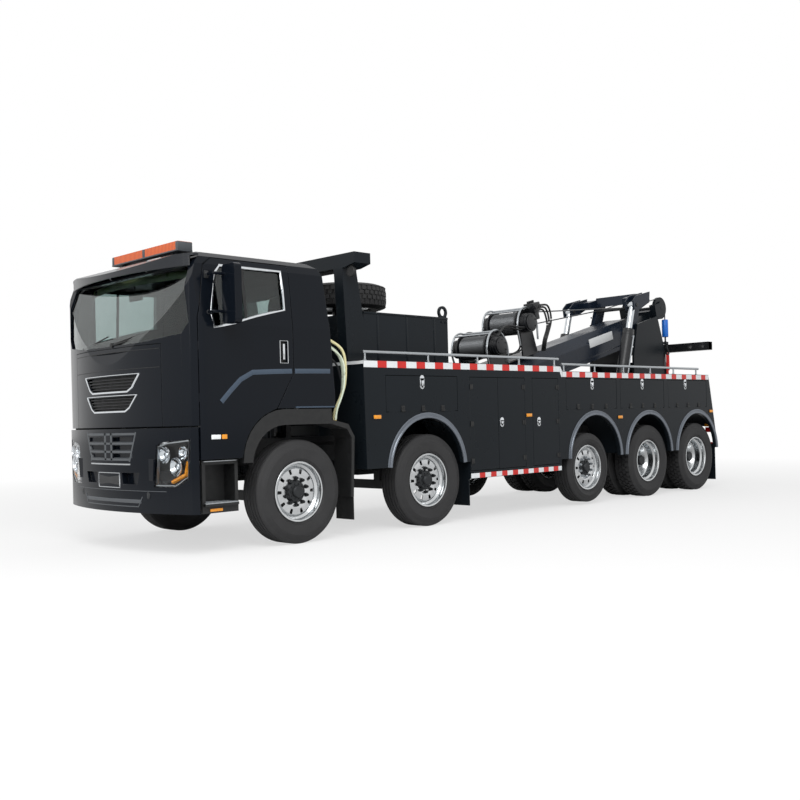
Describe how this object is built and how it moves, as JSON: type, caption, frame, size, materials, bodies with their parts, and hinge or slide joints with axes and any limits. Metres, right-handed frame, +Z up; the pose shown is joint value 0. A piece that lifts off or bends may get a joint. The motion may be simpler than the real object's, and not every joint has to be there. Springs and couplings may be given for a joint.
{
  "type": "heavy tow truck",
  "caption": "Long heavy recovery truck with a cab, locker body, lifting boom with winches, portal, mast and a folding underlift with a crossbar.",
  "frame": {"origin": "middle of the bounding box, on the ground", "axes": "+X to the front of the truck, +Y to its left, +Z up"},
  "size_m": [10.27, 3, 3.1207],
  "materials": {
    "chassis_paint": "satin dark grey chassis paint",
    "engine_metal": "dull cast metal",
    "tyre_rubber": "matt black rubber",
    "body_paint": "gloss black paint with a blue cast",
    "window_glass": "lightly tinted clear glass",
    "cab_fabric": "dark woven seat cover",
    "cab_plastic": "grained dark plastic",
    "lamp_lens": "clear lamp cover",
    "rail_chrome": "polished bright metal",
    "frame_paint": "gloss dark grey paint",
    "boom_paint": "gloss blue-black paint",
    "winch_paint": "satin black paint",
    "rod_chrome": "hard chrome",
    "underlift_paint": "gloss black paint"
  },
  "bodies": {
    "truck": {"chassis_frame": "chassis_paint", "engine_block": "engine_metal", "axles": "chassis_paint", "cab_shell": "body_paint", "windscreen": "window_glass", "seats": "cab_fabric", "dashboard": "cab_plastic", "bumper": "body_paint", "headlamps": "lamp_lens", "sun_visor": "body_paint", "front_fenders": "body_paint", "body_shell": "body_paint", "handrails": "rail_chrome", "gantry": "body_paint", "spare_wheel": "tyre_rubber", "recovery_frame": "frame_paint"},
    "knuckle_1_left": {"knuckle_1_left": "chassis_paint"},
    "knuckle_1_right": {"knuckle_1_right": "chassis_paint"},
    "knuckle_2_left": {"knuckle_2_left": "chassis_paint"},
    "knuckle_2_right": {"knuckle_2_right": "chassis_paint"},
    "wheel_1_left": {"wheel_1_left": "tyre_rubber"},
    "wheel_1_right": {"wheel_1_right": "tyre_rubber"},
    "wheel_2_left": {"wheel_2_left": "tyre_rubber"},
    "wheel_2_right": {"wheel_2_right": "tyre_rubber"},
    "wheel_3_left": {"wheel_3_left": "tyre_rubber"},
    "wheel_3_right": {"wheel_3_right": "tyre_rubber"},
    "wheel_4_left": {"wheel_4_left": "tyre_rubber"},
    "wheel_4_right": {"wheel_4_right": "tyre_rubber"},
    "wheel_5_left": {"wheel_5_left": "tyre_rubber"},
    "wheel_5_right": {"wheel_5_right": "tyre_rubber"},
    "cab_door_left": {"cab_door_left": "body_paint", "door_glass_left": "window_glass", "mirror_left": "body_paint"},
    "cab_door_right": {"cab_door_right": "body_paint", "door_glass_right": "window_glass", "mirror_right": "body_paint"},
    "front_panel": {"front_panel": "body_paint"},
    "front_flap_left": {"front_flap_left": "body_paint"},
    "rear_flap_1_left": {"rear_flap_1_left": "body_paint"},
    "rear_flap_2_left": {"rear_flap_2_left": "body_paint"},
    "rear_flap_3_left": {"rear_flap_3_left": "body_paint"},
    "locker_door_1_left": {"locker_door_1_left": "body_paint"},
    "locker_door_2_left": {"locker_door_2_left": "body_paint"},
    "locker_door_3_left": {"locker_door_3_left": "body_paint"},
    "front_flap_right": {"front_flap_right": "body_paint"},
    "rear_flap_1_right": {"rear_flap_1_right": "body_paint"},
    "rear_flap_2_right": {"rear_flap_2_right": "body_paint"},
    "rear_flap_3_right": {"rear_flap_3_right": "body_paint"},
    "locker_door_1_right": {"locker_door_1_right": "body_paint"},
    "locker_door_2_right": {"locker_door_2_right": "body_paint"},
    "locker_door_3_right": {"locker_door_3_right": "body_paint"},
    "boom": {"boom_outer": "boom_paint", "winches": "winch_paint"},
    "boom_inner": {"boom_inner": "boom_paint"},
    "lift_barrels": {"lift_barrels": "frame_paint"},
    "lift_rods": {"lift_rods": "rod_chrome"},
    "underlift_column": {"underlift_column": "underlift_paint"},
    "underlift_arm": {"underlift_arm": "underlift_paint"},
    "underlift_extension": {"underlift_extension": "underlift_paint"},
    "crossbar": {"crossbar": "underlift_paint"}
  },
  "joints": [
    {"name": "steer_1_left", "type": "hinge", "parent": "truck", "child": "knuckle_1_left", "pos_m": [3.715, 0.85, 0.52], "axis": [0, 0, 1], "range_deg": [-35, 35]},
    {"name": "steer_1_right", "type": "hinge", "parent": "truck", "child": "knuckle_1_right", "pos_m": [3.715, -0.85, 0.52], "axis": [0, 0, 1], "range_deg": [-35, 35]},
    {"name": "steer_2_left", "type": "hinge", "parent": "truck", "child": "knuckle_2_left", "pos_m": [1.865, 0.85, 0.52], "axis": [0, 0, 1], "range_deg": [-24.9, 24.9]},
    {"name": "steer_2_right", "type": "hinge", "parent": "truck", "child": "knuckle_2_right", "pos_m": [1.865, -0.85, 0.52], "axis": [0, 0, 1], "range_deg": [-24.9, 24.9]},
    {"name": "spin_1_left", "type": "hinge", "parent": "knuckle_1_left", "child": "wheel_1_left", "pos_m": [3.715, 1.072, 0.52], "axis": [0, 1, 0], "continuous": true},
    {"name": "spin_1_right", "type": "hinge", "parent": "knuckle_1_right", "child": "wheel_1_right", "pos_m": [3.715, -1.072, 0.52], "axis": [0, 1, 0], "continuous": true},
    {"name": "spin_2_left", "type": "hinge", "parent": "knuckle_2_left", "child": "wheel_2_left", "pos_m": [1.865, 1.072, 0.52], "axis": [0, 1, 0], "continuous": true},
    {"name": "spin_2_right", "type": "hinge", "parent": "knuckle_2_right", "child": "wheel_2_right", "pos_m": [1.865, -1.072, 0.52], "axis": [0, 1, 0], "continuous": true},
    {"name": "spin_3_left", "type": "hinge", "parent": "truck", "child": "wheel_3_left", "pos_m": [-1.215, 1.072, 0.501], "axis": [0, 1, 0], "continuous": true},
    {"name": "spin_3_right", "type": "hinge", "parent": "truck", "child": "wheel_3_right", "pos_m": [-1.215, -1.072, 0.501], "axis": [0, 1, 0], "continuous": true},
    {"name": "spin_4_left", "type": "hinge", "parent": "truck", "child": "wheel_4_left", "pos_m": [-2.715, 1.072, 0.52], "axis": [0, 1, 0], "continuous": true},
    {"name": "spin_4_right", "type": "hinge", "parent": "truck", "child": "wheel_4_right", "pos_m": [-2.715, -1.072, 0.52], "axis": [0, 1, 0], "continuous": true},
    {"name": "spin_5_left", "type": "hinge", "parent": "truck", "child": "wheel_5_left", "pos_m": [-4.085, 1.072, 0.52], "axis": [0, 1, 0], "continuous": true},
    {"name": "spin_5_right", "type": "hinge", "parent": "truck", "child": "wheel_5_right", "pos_m": [-4.085, -1.072, 0.52], "axis": [0, 1, 0], "continuous": true},
    {"name": "cab_door_left_hinge", "type": "hinge", "parent": "truck", "child": "cab_door_left", "pos_m": [4.8685, 1.219, 1.7], "axis": [0, 0, -1], "range_deg": [0, 70]},
    {"name": "cab_door_right_hinge", "type": "hinge", "parent": "truck", "child": "cab_door_right", "pos_m": [4.8685, -1.219, 1.7], "axis": [0, 0, 1], "range_deg": [0, 70]},
    {"name": "front_panel_hinge", "type": "hinge", "parent": "truck", "child": "front_panel", "pos_m": [5.1, 0, 1.975], "axis": [0, -1, 0], "range_deg": [0, 70]},
    {"name": "front_flap_left_hinge", "type": "hinge", "parent": "truck", "child": "front_flap_left", "pos_m": [1.985, 1.2473, 1.297], "axis": [-1, 0, 0], "range_deg": [0, 90]},
    {"name": "rear_flap_1_left_hinge", "type": "hinge", "parent": "truck", "child": "rear_flap_1_left", "pos_m": [-1.265, 1.2473, 1.287], "axis": [-1, 0, 0], "range_deg": [0, 90]},
    {"name": "rear_flap_2_left_hinge", "type": "hinge", "parent": "truck", "child": "rear_flap_2_left", "pos_m": [-2.516, 1.2473, 1.287], "axis": [-1, 0, 0], "range_deg": [0, 90]},
    {"name": "rear_flap_3_left_hinge", "type": "hinge", "parent": "truck", "child": "rear_flap_3_left", "pos_m": [-3.78, 1.2473, 1.287], "axis": [-1, 0, 0], "range_deg": [0, 90]},
    {"name": "locker_door_1_left_hinge", "type": "hinge", "parent": "truck", "child": "locker_door_1_left", "pos_m": [1.203, 1.2473, 1.1375], "axis": [0, 0, -1], "range_deg": [0, 100]},
    {"name": "locker_door_2_left_hinge", "type": "hinge", "parent": "truck", "child": "locker_door_2_left", "pos_m": [0.182, 1.2473, 1.1375], "axis": [0, 0, 1], "range_deg": [0, 100]},
    {"name": "locker_door_3_left_hinge", "type": "hinge", "parent": "truck", "child": "locker_door_3_left", "pos_m": [-0.51, 1.2473, 1.1375], "axis": [0, 0, 1], "range_deg": [0, 100]},
    {"name": "front_flap_right_hinge", "type": "hinge", "parent": "truck", "child": "front_flap_right", "pos_m": [1.985, -1.2473, 1.297], "axis": [1, 0, 0], "range_deg": [0, 90]},
    {"name": "rear_flap_1_right_hinge", "type": "hinge", "parent": "truck", "child": "rear_flap_1_right", "pos_m": [-1.265, -1.2473, 1.287], "axis": [1, 0, 0], "range_deg": [0, 90]},
    {"name": "rear_flap_2_right_hinge", "type": "hinge", "parent": "truck", "child": "rear_flap_2_right", "pos_m": [-2.516, -1.2473, 1.287], "axis": [1, 0, 0], "range_deg": [0, 90]},
    {"name": "rear_flap_3_right_hinge", "type": "hinge", "parent": "truck", "child": "rear_flap_3_right", "pos_m": [-3.78, -1.2473, 1.287], "axis": [1, 0, 0], "range_deg": [0, 90]},
    {"name": "locker_door_1_right_hinge", "type": "hinge", "parent": "truck", "child": "locker_door_1_right", "pos_m": [1.203, -1.2473, 1.1375], "axis": [0, 0, 1], "range_deg": [0, 100]},
    {"name": "locker_door_2_right_hinge", "type": "hinge", "parent": "truck", "child": "locker_door_2_right", "pos_m": [0.182, -1.2473, 1.1375], "axis": [0, 0, -1], "range_deg": [0, 100]},
    {"name": "locker_door_3_right_hinge", "type": "hinge", "parent": "truck", "child": "locker_door_3_right", "pos_m": [-0.51, -1.2473, 1.1375], "axis": [0, 0, -1], "range_deg": [0, 100]},
    {"name": "boom_lift", "type": "hinge", "parent": "truck", "child": "boom", "pos_m": [-0.185, 0, 1.587], "axis": [0, 1, 0], "range_deg": [0, 25]},
    {"name": "boom_extend", "type": "slide", "parent": "boom", "child": "boom_inner", "axis": [-0.9681, 0, 0.2504], "range_m": [0, 1.2]},
    {"name": "lift_barrel_tilt", "type": "hinge", "parent": "truck", "child": "lift_barrels", "pos_m": [-2.815, 0, 1.2], "axis": [0, 1, 0], "range_deg": [0, 23.6]},
    {"name": "lift_rod_slide", "type": "slide", "parent": "lift_barrels", "child": "lift_rods", "axis": [-0.2957, 0, 0.9553], "range_m": [0, 1.15]},
    {"name": "underlift_lower", "type": "slide", "parent": "truck", "child": "underlift_column", "axis": [0, 0, 1], "range_m": [-0.45, 0]},
    {"name": "underlift_fold", "type": "hinge", "parent": "underlift_column", "child": "underlift_arm", "pos_m": [-5.015, 0, 0.83], "axis": [0, -1, 0], "range_deg": [0, 90]},
    {"name": "underlift_extend", "type": "slide", "parent": "underlift_arm", "child": "underlift_extension", "axis": [0, 0, 1], "range_m": [0, 0.75]},
    {"name": "crossbar_swivel", "type": "hinge", "parent": "underlift_extension", "child": "crossbar", "pos_m": [-5.015, 0, 2.285], "axis": [1, 0, 0], "range_deg": [-20, 20]}
  ],
  "couplings": [
    {"joint": "steer_1_right", "follows": "steer_1_left", "ratio": 1},
    {"joint": "steer_2_left", "follows": "steer_1_left", "ratio": 0.71},
    {"joint": "steer_2_right", "follows": "steer_1_left", "ratio": 0.71},
    {"joint": "lift_barrel_tilt", "follows": "boom_lift", "ratio": 0.9419},
    {"joint": "lift_rod_slide", "follows": "boom_lift", "m_per_rad": 2.634}
  ]
}
